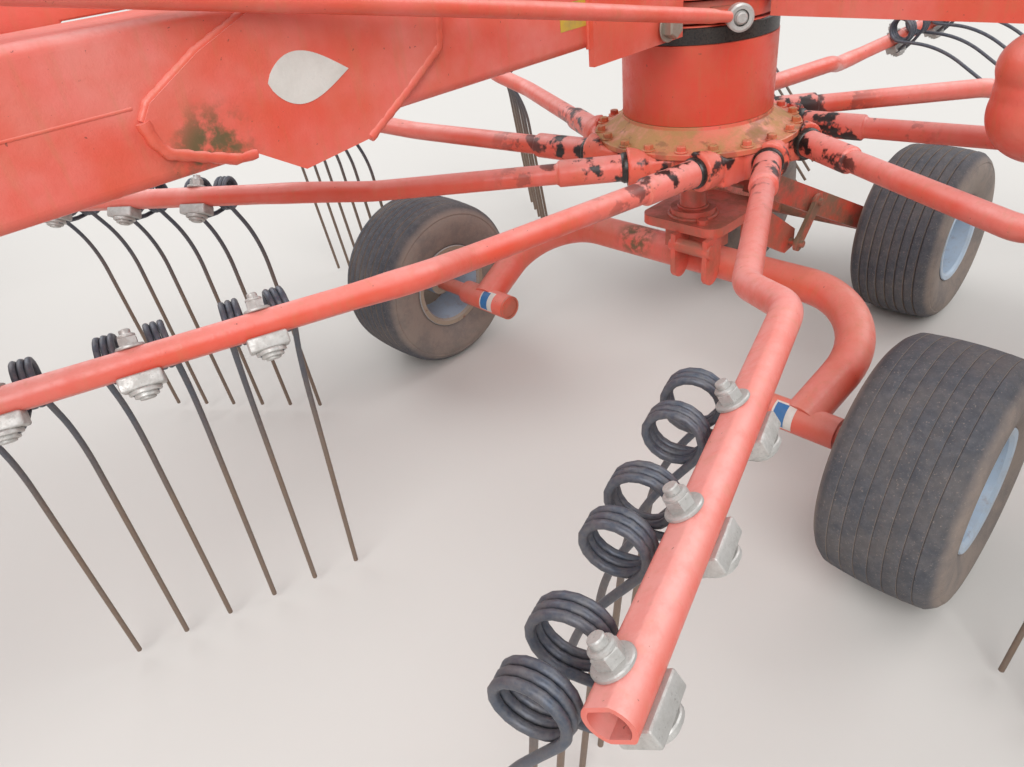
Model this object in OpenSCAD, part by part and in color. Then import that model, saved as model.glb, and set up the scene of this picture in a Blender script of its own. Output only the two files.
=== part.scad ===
// Trailed hay rake with two rotors, parked on its wheels and its drawbar stand.
// Millimetres. +X is the direction of travel, +Y is left, +Z is up, the floor is z = 0.

/* [Layout] */
// Rear rotor axis, behind the middle of the machine
rear_rotor_x = -1896; // [-2200:1:-1600]
// Rear rotor axis, to the left of the middle of the machine
rear_rotor_y = 1186.5; // [900:0.5:1500]
// Length of the rear boom, from its rotor axis to its vertical pivot
boom_l = 2600; // [2500:10:3000]
// Front rotor axis ahead of the boom pivot
front_rotor_dx = 120; // [60:10:140]
// Front rotor axis to the right of the boom pivot
front_rotor_dy = 2700; // [2600:10:2900]
// Drawbar to the right of the boom pivot
drawbar_dy = 1350; // [1200:10:1500]
// King pin of the hitch ahead of the boom pivot
hitch_dx = 2400; // [2300:10:2700]

/* [Rotor] */
// Tine arms on a rotor
arms = 10; // [8:1:10]
// Azimuth of the first arm
arm_phase = -9.84; // [-18:0.01:18]
// Height of the arm bearings above the floor
arm_z = 638; // [630:1:640]
// Sideways offset of an arm from the rotor axis
arm_offset = 162; // [158:1:168]
// Distance out to the start of the crank
crank_start = 700; // [660:5:720]
// Distance out to the end of the crank
crank_end = 820; // [800:5:840]
// Distance out to the open end of the arm
arm_end = 1435; // [1420:5:1450]
// Sideways step of the crank
crank_side = 60; // [40:1:70]
// Rise of the crank
crank_rise = 31; // [20:1:36]
// Sideways position of the arm's end against its bearing
arm_end_side = -34; // [-50:1:0]
// Radius of the arm tube
arm_r = 21.2; // [20:0.1:22]
// Wall of the arm tube
arm_wall = 3.2; // [2:0.1:5]
// Radius of the sleeve at the arm's root
sleeve_r = 27; // [26:0.5:28]
// Distance out to the end of the sleeve
sleeve_end = 310; // [280:5:340]

/* [Hub] */
// Radius of the rotating column
column_r = 158; // [150:1:160]
// Height of the column's top
column_top = 888; // [880:1:888]
// Rise of the skirt from the arm flange to the column's foot
skirt_h = 36; // [30:1:44]
// Radius of the arm flange
flange_r = 220; // [216:1:224]
// Height of the flange's underside
flange_z = 656; // [654:1:660]
// Thickness of the flange
flange_t = 12; // [10:1:14]
// Radius of the drum between the arm bearings
drum_r = 118; // [110:1:120]
// Radius of the upright shaft through the rotor
shaft_r = 45; // [40:1:50]
// Free gap between the rotor and the upright shaft
shaft_gap = 0.5; // [0.2:0.1:1]

/* [Tines] */
// Distance between the two legs of a double tine
leg_gap = 88; // [84:1:92]
// Radius of the tine wire
wire_r = 4.7; // [4.5:0.1:5]
// Mean radius of the coil
coil_r = 31; // [29:0.5:33]
// Spacing of the coil's turns
coil_pitch = 9.4; // [9:0.1:9.4]
// Coil centre beside the arm tube
coil_side = -60; // [-64:1:-58]
// Coil centre below the arm tube
coil_drop = -15; // [-18:1:-10]
// Knee of the leg beside the arm tube
knee_side = -110; // [-120:1:-100]
// Knee of the leg below the arm tube
knee_drop = -140; // [-150:1:-130]
// Tip of the leg beside the arm tube
tip_side = -165; // [-180:1:-130]
// Height of the tips above the floor
tip_clear = 18; // [15:1:30]
// Bolts of the double tines, distances out along the arm
tine_stations = [1062, 1230, 1398];

/* [Wheels] */
// Outer radius of a tyre
tyre_r = 228.5; // [226:0.5:230]
// Width of a tyre
tyre_w = 215; // [200:1:218]
// Radius of the rim's seat
rim_r = 101.6; // [100:0.1:104]
// Front wheels ahead of the rotor axis
front_wheel_x = 287; // [280:1:295]
// Front wheels beside the rotor axis
front_wheel_y = 680; // [670:1:684]
// Rear wheels behind the rotor axis
rear_wheel_x = -688; // [-690:1:-680]
// Rear wheels beside the rotor axis
rear_wheel_y = 292; // [288:1:294]
// Radius of the stub axles
stub_r = 19; // [17:0.5:21]

/* [Bogie] */
// Height of the bogie plate's top
plate_top = 462; // [458:1:466]
// Thickness of the bogie plate
plate_t = 22; // [18:1:24]
// Half width of the bogie plate
plate_half_w = 105; // [100:1:112]
// Front edge of the bogie plate ahead of the rotor axis
plate_front = 70; // [60:1:80]
// Radius of the curved axle tube
axle_r = 38; // [36:1:40]
// Height of the curved axle at its middle
axle_mid_z = 352; // [348:1:356]

/* [Frame] */
// Underside of the beams
beam_z = 905; // [903:1:908]
// Height of the beams
beam_h = 168; // [160:1:170]
// Width of the rear boom
boom_w = 120; // [110:1:124]
// Width of the cross beam
cross_w = 140; // [130:1:150]
// Wall of the beams
beam_wall = 8; // [6:1:10]
// Outer radius of the folds along the beams
beam_fold = 14; // [10:1:18]
// Width and height of the lateral beam
lateral_w = 80; // [76:1:84]
// Underside of the lateral beam
lateral_z = 893; // [893:1:895]
// Height of the drive line above the floor
drive_z = 1180; // [1178:1:1190]
// Drive line beside the beams
drive_side = 120; // [116:1:124]

/* [Steering] */
// Ball joint of the lever ahead of the rear rotor axis
lever_x = 156; // [150:1:160]
// Ball joint of the lever beside the rear rotor axis
lever_y = 183; // [178:1:188]
// Height of the lever's ball joint
lever_z = 912; // [911:1:913]
// Front ball joint of the tie rod, to the right of the boom pivot
rod_front_y = 98; // [92:1:102]
// Height of the tie rod's front ball joint
rod_front_z = 1370; // [1360:1:1380]
// Radius of the tie rod
rod_r = 12; // [10:0.5:13]

/* [Curtain] */
// Distance of the curtain from the rear rotor axis
curtain_y = 1750; // [1700:5:1780]
// Length of the curtain
curtain_l = 1500; // [1300:10:1600]
// Height of the curtain's lower edge
curtain_low = 90; // [60:5:140]

/* [Hitch] */
// Height of the lower link pins
link_pin_z = 620; // [600:5:660]
// Radius of the lower link pins
link_pin_r = 14; // [14:0.5:14]
// Distance between the middles of the lower link pins
link_span = 825; // [800:1:830]
// Lower link pins ahead of the king pin
link_pin_dx = 210; // [200:5:230]

/* [Hidden] */
WHEELS = ["front_left", "front_right", "rear_left", "rear_right"];
ROTORS = ["front", "rear"];

$fn = 48;
red = "#d9482f";
deep_red = "#b83a28";
dusty = "#a08556";
steel = "#9a9a98";
dark = "#3a3c40";
rear_rotor = [rear_rotor_x, rear_rotor_y, 0];
pivot = [rear_rotor_x + boom_l, rear_rotor_y, 0];
front_rotor = pivot + [front_rotor_dx, -front_rotor_dy, 0];
drawbar_y = pivot.y - drawbar_dy;
hitch = [pivot.x + hitch_dx, drawbar_y, 0];
beam_mid = beam_z + beam_h / 2;
column_foot = flange_z + flange_t + skirt_h;
beam_top = beam_z + beam_h;
// Roll of an arm against its azimuth: down while it rakes, lifted on the left and at the rear
ROLL = [[-118, 0], [62, 0], [98, 32], [134, 63], [170, 55], [206, 28], [242, 0]];
// A bend is a little fatter than its tube, which seats inside it
bend_swell = 0.15;
bend_seat = 1.5;
// Distance out to the face where a carrier ends and its arm begins
collar_end = 170;
// Free gap of a sliding or swivelling seat
seat_gap = 0.3;
ball_r = 22;
rod_rear_at = [lever_x, lever_y, lever_z];
lever_dir = [36, 42, 0] / norm([36, 42, 0]);
// Lean of the tine bolts from upright, towards the coil
bolt_tilt = 33;

function unit(v) = v / norm(v);
function wrap(az) = az < -118 ? wrap(az + 360) : az >= 242 ? wrap(az - 360) : az;
function rotor_place(r) = r == "front" ? front_rotor : rear_rotor;
function rotor_phase(r) = r == "front" ? arm_phase + 18 : arm_phase;

// Children's +Z points along dir from p, their +X level with the ground
module aim(p, dir, up = [0, 0, 1]) {
    z = unit(dir);
    x = unit(cross(up, z));
    y = cross(z, x);
    multmatrix([[x.x, y.x, z.x, p.x], [x.y, y.y, z.y, p.y], [x.z, y.z, z.z, p.z]]) children();
}

module rod(p, q, r) aim(p, q - p, abs(unit(q - p).z) > 0.99 ? [0, 1, 0] : [0, 0, 1]) cylinder(r = r, h = norm(q - p));

module bar(p, q, w, h) aim(p, q - p) translate([-w / 2, -h / 2, 0]) cube([w, h, norm(q - p)]);

module block(low, high) translate(low) cube(high - low);

// Bend between two straight lengths of tube, as a piece of a torus
module elbow(before, corner, after, r, bend) {
    u = unit(corner - before);
    v = unit(after - corner);
    turn = acos(u * v);
    w = unit(v - (v * u) * u);
    start = corner - u * bend * tan(turn / 2);
    centre = start + w * bend;
    n = cross(-w, u);
    multmatrix([[-w.x, u.x, n.x, centre.x], [-w.y, u.y, n.y, centre.y], [-w.z, u.z, n.z, centre.z]])
        rotate_extrude(angle = turn) translate([bend, 0]) circle(r = r + bend_swell);
}

function mirrored(p) = [p.x, -p.y, p.z];

// How far a straight length stops short of a corner, less the stretch that seats in the bend
function cut_back(path, i, bend) =
    i <= 0 || i >= len(path) - 1 ? 0
    : bend * tan(acos(unit(path[i] - path[i - 1]) * unit(path[i + 1] - path[i])) / 2) - bend_seat;

module bent_tube(path, r, bend) {
    for (i = [0 : len(path) - 2]) {
        u = unit(path[i + 1] - path[i]);
        rod(path[i] + u * cut_back(path, i, bend), path[i + 1] - u * cut_back(path, i + 1, bend), r);
    }
    if (len(path) > 2)
        for (i = [1 : len(path) - 2]) elbow(path[i - 1], path[i], path[i + 1], r, bend);
}

// Puts an arm's own frame in the rotor: +X outward, +Z up at rest, rolled about its bearing
module arm_frame(r, i) {
    az = rotor_phase(r) + i * 360 / arms;
    rotate([0, 0, az]) translate([0, arm_offset, arm_z]) rotate([-lookup(wrap(az), ROLL), 0, 0]) children();
}

module each_arm(r) for (i = [0 : arms - 1]) arm_frame(r, i) children();

// Rotating column with its dust skirt, arm flange and bearing drum
module hub() {
    color(deep_red)
    rotate_extrude() polygon([
        [shaft_r + shaft_gap, 540], [78, 540], [78, 585], [drum_r, 590], [drum_r, flange_z],
        [flange_r, flange_z], [flange_r, flange_z + flange_t], [flange_r - 12, flange_z + flange_t + 3],
        [column_r, column_foot], [column_r, column_top - 6], [column_r - 6, column_top],
        [shaft_r + shaft_gap, column_top]]);
}

// Cast bearing housing of one arm, seated under the flange
module carrier() {
    box_end = 138;
    difference() {
        union() {
            translate([0, 0, arm_z]) {
                rotate([0, 90, 0]) translate([0, arm_offset, -100]) cylinder(r = 36, h = 100 + box_end);
                translate([0, arm_offset, 0]) rotate([0, 90, 0]) translate([0, 0, box_end - 4])
                    cylinder(r = 40, h = collar_end - box_end + 4);
            }
            block([-96, arm_offset - 36, arm_z - 38], [box_end - 12, arm_offset + 35, flange_z]);
        }
        translate([0, 0, flange_z]) cylinder(r = flange_r + 2, h = 80);
        translate([0, 0, arm_z - 80]) cylinder(r = drum_r + 1, h = 160);
    }
}

module carriers(r) {
    color(red)
    for (i = [0 : arms - 1]) rotate([0, 0, rotor_phase(r) + i * 360 / arms]) carrier();
}

crank_low = [crank_start, 0, 0];
crank_high = [crank_end, crank_side, crank_rise];
arm_tip = [arm_end, arm_end_side, crank_rise];
outer_dir = unit(arm_tip - crank_high);

// One arm: sleeve, straight length, crank and outer length with an open end
module arm() {
    difference() {
        union() {
            rod([collar_end, 0, 0], [sleeve_end, 0, 0], sleeve_r);
            bent_tube([[sleeve_end, 0, 0], crank_low, crank_high, arm_tip], arm_r, 90);
        }
        rod(arm_tip - 60 * outer_dir, arm_tip + outer_dir, arm_r - arm_wall);
    }
}

// Coil with its turns side by side, as one ring
module coil() {
    width = 3 * coil_pitch;
    rotate([0, 90, 0]) rotate_extrude()
        translate([coil_r - wire_r, -width / 2]) square([2 * wire_r, width]);
}

// Loop of the wire: from each coil's bottom under the tube, and across inside the clamp block
loop_back = [leg_gap / 2 - 2 * coil_pitch - 8, coil_side - 6, coil_drop - coil_r];
loop_turn = [15, 22, -arm_r - 7];
module loop_wire() {
    for (s = [-1, 1])
        rod([s * loop_back.x, loop_back.y, loop_back.z], [s * loop_turn.x, loop_turn.y, loop_turn.z], wire_r);
    rod([-loop_turn.x - wire_r, loop_turn.y, loop_turn.z], [loop_turn.x + wire_r, loop_turn.y, loop_turn.z],
        wire_r - 0.3);
}

// Slot in the clamp block that the loop lies in
module loop_slot() {
    wide = loop_back.x + wire_r + seat_gap;
    high = wire_r + seat_gap;
    translate([0, loop_turn.y, loop_turn.z])
        rotate([atan2(loop_turn.z - loop_back.z, loop_turn.y - loop_back.y), 0, 0])
            block([-wide, -60, -high], [wide, high, high]);
}

// Double tine in its station's frame: +X along the arm, the arm tube's axis at the origin
module double_tine(leg_drop) {
    for (s = [-1, 1]) {
        x = s * (leg_gap / 2 - 1);
        knee = [x, knee_side, knee_drop];
        translate([s * (leg_gap / 2 - coil_pitch), coil_side, coil_drop]) coil();
        rod([x, coil_side + 25, coil_drop - 18], knee, wire_r - 0.2);
        translate(knee) sphere(r = wire_r);
        rod(knee, [x, tip_side, -leg_drop], wire_r - 0.3);
    }
    loop_wire();
    rotate([bolt_tilt, 0, 0]) translate([0, 0, arm_r]) {
        cylinder(r = 20, h = 5);
        translate([0, 0, 4]) cylinder(r = 14, h = 4);
        translate([0, 0, 7]) cylinder(r = 13, h = 13, $fn = 6);
        cylinder(r = 8, h = 30);
    }
}

// Cast block that clamps the wire's loop, with its stepped washer and the bolt's head
module bolt_block() {
    difference() {
        rotate([bolt_tilt, 0, 0]) {
            block([-37, -20, -arm_r - 16], [37, 20, -8]);
            translate([0, 0, -arm_r - 23]) cylinder(r = 20, h = 8);
            translate([0, 0, -arm_r - 28]) cylinder(r = 16, h = 6);
            translate([0, 0, -arm_r - 33]) cylinder(r = 11, h = 6);
        }
        loop_slot();
    }
}

module each_station() {
    for (a = tine_stations)
        translate(crank_high + outer_dir * ((a - crank_end) / outer_dir.x))
            rotate([0, 0, atan2(outer_dir.y, outer_dir.x)]) children();
}

module arms_of(r) {
    color(red)
    each_arm(r) {
        arm();
        each_station() bolt_block();
    }
}

module tines_of(r) {
    color(dark) each_arm(r) each_station() double_tine(arm_z + crank_rise - tip_clear);
}

// Tyre in its wheel's frame, with its axis along Y
module tyre() {
    half = tyre_w / 2;
    color(dark)
    rotate([90, 0, 0]) rotate_extrude() difference() {
        polygon([
            [rim_r, -90], [rim_r + 11, -90], [150, -half + 2], [170, -half], [196, -half + 3],
            [216, -half + 14], [225, -half + 28], [tyre_r, -half + 48], [tyre_r, half - 48],
            [225, half - 28], [216, half - 14], [196, half - 3], [170, half], [150, half - 2],
            [rim_r + 11, 90], [rim_r, 90]]);
        for (k = [-3 : 3]) translate([tyre_r - 7, k * 25 - 3.5]) square([20, 7]);
    }
}

// Pressed rim: barrel with two flanges, dished disc and hub
module rim(side) {
    inner = rim_r - 6;
    bore = stub_r + 0.1;
    color("#b8c4cc")
    mirror([0, side < 0 ? 1 : 0, 0]) rotate([-90, 0, 0]) rotate_extrude() polygon([
        [rim_r, -90], [rim_r + 12, -92], [rim_r + 12, -96], [inner, -95], [inner, 20], [62, 12], [43, -6],
        [43, -52], [bore, -52], [bore, 52], [43, 52], [43, 6], [60, 20], [inner, 29], [inner, 95],
        [rim_r + 12, 96], [rim_r + 12, 92], [rim_r, 90]]);
}

function wheel_side(w) = w == "front_left" || w == "rear_left" ? 1 : -1;
function wheel_place(w) =
    let (side = wheel_side(w), fore = w == "front_left" || w == "front_right")
    [fore ? front_wheel_x : rear_wheel_x, side * (fore ? front_wheel_y : rear_wheel_y), tyre_r];

// Where the tail arms start, and the bolt of their link on the plate's side bracket
tail_root = [-165, 60, 497];
link_low = [-290, plate_half_w + 4, 305];

// Upright shaft, bogie plate with its lugs, and the brackets of the tail arms
module bogie(steered) {
    low = plate_top - plate_t;
    corner_r = 34;
    color(red) {
        translate([0, 0, low]) cylinder(r = 31, h = 570);
        translate([0, 0, 541]) cylinder(r = shaft_r, h = 474);
        translate([0, 0, plate_top - 4]) cylinder(r = 52, h = 22);
        translate([0, 0, column_top + 5]) cylinder(r = column_r - 8, h = 37);
        block([-150, -plate_half_w, low], [plate_front - corner_r, plate_half_w, plate_top]);
        block([-150, -plate_half_w + corner_r, low], [plate_front, plate_half_w - corner_r, plate_top]);
        for (s = [-1, 1])
            translate([plate_front - corner_r, s * (plate_half_w - corner_r), low]) cylinder(r = corner_r, h = plate_t);
        translate([46, 56, plate_top - 1]) cylinder(r = 13, h = 12, $fn = 6);
        difference() {
            union() {
                for (y = [0, 84]) {
                    block([30, y, axle_mid_z + 2], [plate_front + 18, y + 12, low + 1]);
                    rod([plate_front - 9, y, axle_mid_z + 2], [plate_front - 9, y + 12, axle_mid_z + 2], 27);
                }
                rod([plate_front + 4, -6, 412], [plate_front + 4, 102, 412], 16);
                block([-60, -60, axle_mid_z + axle_r - 14], [24, 60, low + 1]);
            }
            axle_middle(axle_r);
        }
        for (s = [-1, 1]) {
            block([-146, s * 78 - 6, plate_top - 1], [-124, s * 78 + 6, 535]);
            difference() {
                translate([0, s * (plate_half_w - 7) + 6, 0]) rotate([90, 0, 0]) linear_extrude(height = 12)
                    polygon([[-60, low + 1], [-150, low + 1], [-312, 332], [-312, 286], [-268, 280], [-60, 402]]);
                rod([link_low.x, s * 80, link_low.z], [link_low.x, s * 130, link_low.z], 9 + seat_gap);
            }
        }
    }
    if (steered) {
        color(steel) {
            bar([90, 106, lever_z], [lever_x - 30, lever_y - 36, lever_z], 50, 16);
            rod([lever_x - 36, lever_y - 42, lever_z], rod_rear_at - (ball_r + seat_gap) * lever_dir, 7.5);
        }
    }
}

axle_corner = [-6, 485, axle_mid_z];
axle_foot = [front_wheel_x, 445, tyre_r + 2];

// Straight middle length of the curved axle, which the bogie's brackets are coped to
module axle_middle(r) {
    rod([axle_corner.x, -200, axle_corner.z], [axle_corner.x, 200, axle_corner.z], r);
}

// Curved axle tube of the front wheels with its spindle housings and stubs
module axle() {
    bend = 172;
    color(red) {
        bent_tube([mirrored(axle_foot), mirrored(axle_corner), axle_corner, axle_foot], axle_r, bend);
        for (s = [-1, 1]) {
            rod([front_wheel_x, s * 360, tyre_r], [front_wheel_x, s * 520, tyre_r], 31);
            rod([front_wheel_x, s * 519, tyre_r], [front_wheel_x, s * (front_wheel_y + 50), tyre_r], stub_r);
        }
    }
}

// Tail arms of box tube that carry the axle of the rear wheels, each held down by a link
module tail() {
    axle_end = [rear_wheel_x, 140, tyre_r];
    link_high = [-372, link_low.y, 389];
    for (s = [-1, 1]) {
        color(dusty) {
            bar([tail_root.x, s * tail_root.y, tail_root.z], [axle_end.x, s * axle_end.y, axle_end.z], 46, 60);
            for (p = [link_low, link_high])
                rod([p.x, s * 122, p.z], [p.x, s * 132, p.z], 20);
            bar([link_low.x, s * 127, link_low.z], [link_high.x, s * 127, link_high.z], 10, 34);
        }
        color(steel) {
            rod([link_low.x, s * 90, link_low.z], [link_low.x, s * 142, link_low.z], 9);
            rod([link_high.x, s * 100, link_high.z], [link_high.x, s * 142, link_high.z], 9);
        }
    }
    color(red) {
        rod([rear_wheel_x, -175, tyre_r], [rear_wheel_x, 175, tyre_r], 30);
        rod([rear_wheel_x, -rear_wheel_y - 50, tyre_r], [rear_wheel_x, rear_wheel_y + 50, tyre_r], stub_r);
        rod([-195, -70, 483], [-195, 70, 483], 22);
    }
}

// Rotor head with its bevel drive; the beam arrives along +X
module head() {
    color(red)
    difference() {
        union() {
            translate([0, 0, 935]) cylinder(r = 165, h = 25);
            translate([0, 0, 955]) cylinder(r = 140, h = 120);
            translate([0, 0, 1074]) cylinder(r = 100, h = 150);
            block([100, -46, 945], [240, 46, 1050]);
            block([192, -46, 905], [248, 46, 1050]);
            rod([220, -46, beam_z], [220, 46, beam_z], 28);
            rod([20, -drive_side, drive_z], [235, -drive_side, drive_z], 45);
            block([-60, -drive_side - 40, 1080], [60, 0, 1215]);
        }
        translate([0, 0, 900]) cylinder(r = shaft_r + shaft_gap, h = 115);
        rod([220, -60, beam_z], [220, 60, beam_z], 15.1);
    }
}

// Two end plates and the level pin that hold a beam to a rotor head
module beam_end(w) {
    plate = 12;
    for (y = [w / 2, -w / 2 - plate]) block([165, y, 877], [420, y + plate, beam_top]);
    rod([220, -w / 2 - plate - 6, beam_z], [220, w / 2 + plate + 6, beam_z], 15);
}

// Length of square or oblong tube with folded corners, along X
module folded_bar(low, high, r) {
    block([low.x, low.y + r, low.z], [high.x, high.y - r, high.z]);
    block([low.x, low.y, low.z + r], [high.x, high.y, high.z - r]);
    for (y = [low.y + r, high.y - r]) for (z = [low.z + r, high.z - r]) rod([low.x, y, z], [high.x, y, z], r);
}

// Beam closed at its far end and hollow from its near end
module box_beam(low, high) {
    wall = [beam_wall, beam_wall, beam_wall];
    difference() {
        folded_bar(low, high, beam_fold);
        folded_bar(low + [-1, wall.y, wall.z], high - wall, beam_fold - 5);
    }
}

// Gusset outline as seen from the left
GUSSET = [[1000, 1064], [1080, 1032], [1148, 994], [1160, 977], [1155, 955], [1144, 939], [1070, 912],
          [1044, 911], [985, 874], [880, 885], [810, 927], [741, 972], [730, 1060]];

module boom() {
    half = boom_w / 2;
    color(red)
    translate(rear_rotor) {
        beam_end(boom_w);
        box_beam([275, -half, beam_z], [boom_l - 50, half, beam_top]);
        for (s = [-1, 1]) translate([0, s > 0 ? half + 8 : -half, 0]) rotate([90, 0, 0])
            linear_extrude(height = 8) polygon(GUSSET);
        translate([boom_l, 0, beam_z]) difference() {
            cylinder(r = 68, h = beam_h);
            translate([0, 0, -1]) cylinder(r = 30.1, h = beam_h + 2);
        }
    }
}

// Ends of the cover over the boom's drive shaft, and its sheet
cover = [950, 2300];
sheet = 4;

// Sheet channel over the boom's drive shaft
module shaft_cover() {
    right = -drive_side - 58;
    left = -drive_side + 58;
    top = drive_z + 54;
    color(red)
    translate(rear_rotor) difference() {
        block([cover[0], right, beam_top - 50], [cover[1], left, top]);
        block([cover[0] - 1, right + sheet, beam_top - 51], [cover[1] + 1, left - sheet, top - sheet]);
        block([cover[0] - 1, right - 1, beam_top - 51], [cover[1] + 1, left - 10, beam_top]);
        block([cover[0] - 1, left - 11, beam_top - 51], [1165, left + 1, beam_top]);
    }
}

module boom_shaft() {
    inner = 58 - sheet;
    color(dark)
    translate(rear_rotor) {
        rod([235, -drive_side, drive_z], [boom_l - 40, -drive_side, drive_z], 30);
        translate([boom_l, -drive_side, drive_z]) sphere(r = 48);
        for (x = [cover[0] + 10, cover[1] - 30])
            block([x, -drive_side - inner, beam_top], [x + 12, -drive_side + inner, drive_z]);
    }
}

lateral_low = [-50, 172, lateral_z];
lateral_end = 1150;

// Lateral beam that carries the swath curtain, with the rounded cover hung under it
module curtain_beam() {
    low = lateral_low;
    wall = beam_wall;
    color(red)
    translate(rear_rotor) {
        difference() {
            block(low, [low.x + lateral_w, lateral_end, low.z + lateral_w]);
            block(low + [wall, wall, wall], [low.x + lateral_w - wall, lateral_end + 1, low.z + lateral_w - wall]);
        }
        difference() {
            block([-60, 90, low.z + lateral_w], [40, 330, low.z + lateral_w + 12]);
            translate([0, 0, low.z]) cylinder(r = 140, h = 200);
        }
        block([low.x - 8, low.y + 40, low.z + 4], [low.x + 1, lateral_end, low.z + 24]);
        translate([26, 652, 0]) {
            translate([0, 0, 838]) sphere(r = 56);
            translate([0, 4, 756]) sphere(r = 66);
            translate([0, 0, 860]) cylinder(r = 30, h = low.z - 859);
        }
    }
}

// Square arm that slides in the lateral beam, and the level tube of the curtain
module curtain_arm() {
    low = lateral_low + [beam_wall + seat_gap, 0, beam_wall + seat_gap];
    side = lateral_w - 2 * (beam_wall + seat_gap);
    tube_z = low.z + side / 2;
    color(steel)
    translate(rear_rotor) {
        block([low.x, 700, low.z], [low.x + side, curtain_y - 25, low.z + side]);
        rod([-curtain_l / 2 + 40, curtain_y, tube_z], [curtain_l / 2 + 40, curtain_y, tube_z], 24);
        block([low.x + 2, curtain_y - 26, low.z + 2], [low.x + side - 2, curtain_y - 10, low.z + side - 2]);
    }
}

// Hanging cloth, a plain solid of its true outline
module curtain() {
    color("#2c2c2e")
    translate(rear_rotor)
        block([-curtain_l / 2 + 40, curtain_y - 5, curtain_low], [curtain_l / 2 + 40, curtain_y + 5, lateral_z + lateral_w / 2 - 24]);
}

// Tie rod with a ball joint at each end, from the frame's bracket to the steering lever
rod_front = pivot + [0, -rod_front_y, rod_front_z];
rod_rear = rear_rotor + rod_rear_at;
module tie_rod() {
    u = unit(rod_rear - rod_front);
    color(red) rod(rod_front + (ball_r - 2) * u, rod_rear - (ball_r - 2) * u, rod_r);
    color(steel) {
        translate(rod_front) sphere(r = ball_r);
        translate(rod_rear) sphere(r = ball_r);
    }
}

module steering_bracket() {
    color(red)
    translate([pivot.x, pivot.y, 0]) {
        block([-30, -206, beam_top + 30], [145, -194, rod_front_z + 30]);
        rod([0, -195, rod_front_z], [0, -rod_front_y - ball_r - seat_gap, rod_front_z], 14);
    }
}

// Cross beam from the front rotor's head to the fork of the boom pivot
module cross_beam() {
    x0 = front_rotor.x - cross_w / 2;
    color(red) {
        translate([front_rotor.x, front_rotor.y, 0]) rotate([0, 0, 90]) beam_end(cross_w);
        difference() {
            block([x0, front_rotor.y + 275, beam_z], [x0 + cross_w, pivot.y - 150, beam_top]);
            block([x0 + beam_wall, front_rotor.y + 270, beam_z + beam_wall],
                  [x0 + cross_w - beam_wall, pivot.y - 158, beam_top - beam_wall]);
        }
        for (z = [beam_z - 30, beam_top + 5]) {
            block([pivot.x, pivot.y - 300, z], [pivot.x + 330, pivot.y + 60, z + 25]);
            translate([pivot.x, pivot.y, z]) cylinder(r = 75, h = 25);
        }
        for (z = [beam_z - 6, beam_top - 1]) block([x0, pivot.y - 300, z], [x0 + cross_w, pivot.y - 160, z + 7]);
        translate([pivot.x, pivot.y, beam_z - 40]) cylinder(r = 30, h = beam_h + 85);
    }
}

// Drawbar tube, level behind and sloping down to the hitch
module drawbar_beam() {
    x0 = front_rotor.x + cross_w / 2;
    bend_x = x0 + 700;
    front_x = hitch.x - 90;
    front_z = 745;
    half = 72;
    translate([0, drawbar_y + 55, 0]) rotate([90, 0, 0]) linear_extrude(height = 110) polygon([
        [x0, beam_mid - half], [bend_x, beam_mid - half], [front_x, front_z - half],
        [front_x, front_z + half - 20], [bend_x, beam_mid + half], [x0, beam_mid + half]]);
}

module drawbar() {
    color(red) {
        drawbar_beam();
        for (z = [610, 780]) {
            block([hitch.x - 230, drawbar_y - 60, z], [hitch.x, drawbar_y + 60, z + 22]);
            translate([hitch.x, drawbar_y, z]) cylinder(r = 60, h = 22);
        }
        block([hitch.x - 230, drawbar_y - 50, 612], [hitch.x - 120, drawbar_y + 50, 782]);
        translate([hitch.x, drawbar_y, 600]) cylinder(r = 30, h = 212);
    }
}

// Yoke with the two lower link pins, turning on the king pin
module headstock() {
    px = hitch.x + link_pin_dx;
    color(red) {
        translate([hitch.x, drawbar_y, 637]) difference() {
            cylinder(r = 58, h = 138);
            translate([0, 0, -1]) cylinder(r = 30.1, h = 140);
        }
        block([hitch.x + 50, drawbar_y - 40, 645], [px - 20, drawbar_y + 40, 765]);
        block([px - 80, drawbar_y - link_span / 2 + 28, 640], [px, drawbar_y + link_span / 2 - 28, 720]);
        for (s = [-1, 1]) {
            y = drawbar_y + s * (link_span / 2 - 34);
            block([px - 80, min(y, y + s * 12), link_pin_z - 50], [px + 30, max(y, y + s * 12), 740]);
        }
    }
    color(steel) for (s = [-1, 1])
        rod([px, drawbar_y + s * (link_span / 2 - 23), link_pin_z], [px, drawbar_y + s * (link_span / 2 + 45), link_pin_z], link_pin_r);
}

// Jack: outer tube on the drawbar's left side
module stand_sleeve() {
    color(deep_red)
    translate([hitch.x - 700, drawbar_y + 110, 0]) {
        difference() {
            translate([0, 0, 560]) cylinder(r = 38, h = 520);
            translate([0, 0, 559]) cylinder(r = 30.5, h = 480);
        }
        block([-50, -55, 760], [50, -34, 880]);
        rod([-20, 0, 1080], [-20, 0, 1100], 12);
    }
}

module stand_leg() {
    color(steel)
    translate([hitch.x - 700, drawbar_y + 110, 0]) {
        translate([0, 0, 4]) cylinder(r = 30, h = 620);
        block([-90, -90, 0], [90, 90, 8]);
    }
}

module centre_gearbox() {
    x = front_rotor.x + drive_side;
    color(red) {
        block([x - 110, drawbar_y - 110, beam_top + 0], [x + 110, drawbar_y + 110, drive_z + 90]);
        block([x - 90, pivot.y - drive_side - 90, beam_top + 30], [x + 90, pivot.y - drive_side + 70, drive_z + 80]);
    }
}

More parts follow.
